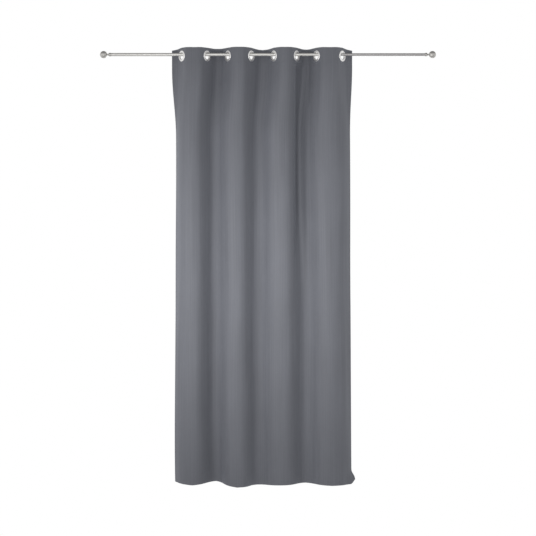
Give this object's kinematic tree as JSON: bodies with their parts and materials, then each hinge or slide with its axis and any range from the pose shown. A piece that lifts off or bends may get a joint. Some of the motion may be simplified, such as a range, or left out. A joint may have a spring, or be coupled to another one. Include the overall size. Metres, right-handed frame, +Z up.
{
  "type": "eyelet curtain panel",
  "caption": "Full-length grey eyelet curtain panel hanging in soft waves from a thin telescopic steel rod with ball finials.",
  "frame": {"origin": "on the rod's axis, midway between the finials", "axes": "+X along the rod to the right as seen from the room, +Y towards the wall, +Z up"},
  "size_m": [2.003, 0.1282, 2.6],
  "materials": {
    "cloth": "dim-out polyester satin weave, slate grey",
    "tape": "stiff non-woven header tape",
    "eyelet_metal": "satin nickel",
    "outer_tube_metal": "satin nickel",
    "inner_tube_metal": "satin nickel",
    "finial_metal": "satin nickel",
    "plug_plastic": "moulded"
  },
  "bodies": {
    "rod": {"rod_outer_tube": "outer_tube_metal"},
    "inner_rod": {"rod_inner_tube": "inner_tube_metal"},
    "left_finial": {"left_finial_ball": "finial_metal", "left_finial_collar": "finial_metal", "left_finial_plug": "plug_plastic"},
    "right_finial": {"right_finial_ball": "finial_metal", "right_finial_collar": "finial_metal", "right_finial_plug": "plug_plastic"},
    "fold_1": {"cloth_fold_1": "cloth", "cloth_header_1": "cloth", "header_tape_1": "tape", "eyelet_front_1": "eyelet_metal", "eyelet_back_1": "eyelet_metal"},
    "fold_2": {"cloth_fold_2": "cloth", "cloth_header_2": "cloth", "header_tape_2": "tape", "eyelet_front_2": "eyelet_metal", "eyelet_back_2": "eyelet_metal"},
    "fold_3": {"cloth_fold_3": "cloth", "cloth_header_3": "cloth", "header_tape_3": "tape", "eyelet_front_3": "eyelet_metal", "eyelet_back_3": "eyelet_metal"},
    "fold_4": {"cloth_fold_4": "cloth", "cloth_header_4": "cloth", "header_tape_4": "tape", "eyelet_front_4": "eyelet_metal", "eyelet_back_4": "eyelet_metal"},
    "fold_5": {"cloth_fold_5": "cloth", "cloth_header_5": "cloth", "header_tape_5": "tape", "eyelet_front_5": "eyelet_metal", "eyelet_back_5": "eyelet_metal"},
    "fold_6": {"cloth_fold_6": "cloth", "cloth_header_6": "cloth", "header_tape_6": "tape", "eyelet_front_6": "eyelet_metal", "eyelet_back_6": "eyelet_metal"},
    "fold_7": {"cloth_fold_7": "cloth", "cloth_header_7": "cloth", "header_tape_7": "tape", "eyelet_front_7": "eyelet_metal", "eyelet_back_7": "eyelet_metal"},
    "fold_8": {"cloth_fold_8": "cloth", "cloth_header_8": "cloth", "header_tape_8": "tape", "eyelet_front_8": "eyelet_metal", "eyelet_back_8": "eyelet_metal"}
  },
  "joints": [
    {"name": "draw", "type": "hinge", "parent": "rod", "child": "fold_1", "pos_m": [-0.513, 0, -0.0086], "axis": [0, 0, -1], "range_deg": [-4, 36]},
    {"name": "crest_1", "type": "hinge", "parent": "fold_1", "child": "fold_2", "pos_m": [-0.4385, -0.04805, -0.0086], "axis": [0, 0, -1], "range_deg": [-72, 8]},
    {"name": "crest_2", "type": "hinge", "parent": "fold_2", "child": "fold_3", "pos_m": [-0.3015, 0.06251, -0.0086], "axis": [0, 0, -1], "range_deg": [-8, 72]},
    {"name": "crest_3", "type": "hinge", "parent": "fold_3", "child": "fold_4", "pos_m": [-0.1695, -0.05484, -0.0086], "axis": [0, 0, -1], "range_deg": [-72, 8]},
    {"name": "crest_4", "type": "hinge", "parent": "fold_4", "child": "fold_5", "pos_m": [-0.0325, 0.05722, -0.0086], "axis": [0, 0, -1], "range_deg": [-8, 72]},
    {"name": "crest_5", "type": "hinge", "parent": "fold_5", "child": "fold_6", "pos_m": [0.1025, -0.05722, -0.0086], "axis": [0, 0, -1], "range_deg": [-72, 8]},
    {"name": "crest_6", "type": "hinge", "parent": "fold_6", "child": "fold_7", "pos_m": [0.23, 0.06486, -0.0086], "axis": [0, 0, -1], "range_deg": [-8, 72]},
    {"name": "crest_7", "type": "hinge", "parent": "fold_7", "child": "fold_8", "pos_m": [0.366, -0.04572, -0.0086], "axis": [0, 0, -1], "range_deg": [-72, 8]},
    {"name": "rod_extend", "type": "slide", "parent": "rod", "child": "inner_rod", "axis": [1, 0, 0], "range_m": [-0.25, 0.15]},
    {"name": "left_finial_pull", "type": "slide", "parent": "rod", "child": "left_finial", "axis": [-1, 0, 0], "range_m": [0, 0.05]},
    {"name": "right_finial_pull", "type": "slide", "parent": "inner_rod", "child": "right_finial", "axis": [1, 0, 0], "range_m": [0, 0.05]}
  ],
  "couplings": [
    {"joint": "crest_1", "follows": "draw", "ratio": -2},
    {"joint": "crest_2", "follows": "draw", "ratio": 2},
    {"joint": "crest_3", "follows": "draw", "ratio": -2},
    {"joint": "crest_4", "follows": "draw", "ratio": 2},
    {"joint": "crest_5", "follows": "draw", "ratio": -2},
    {"joint": "crest_6", "follows": "draw", "ratio": 2},
    {"joint": "crest_7", "follows": "draw", "ratio": -2}
  ]
}
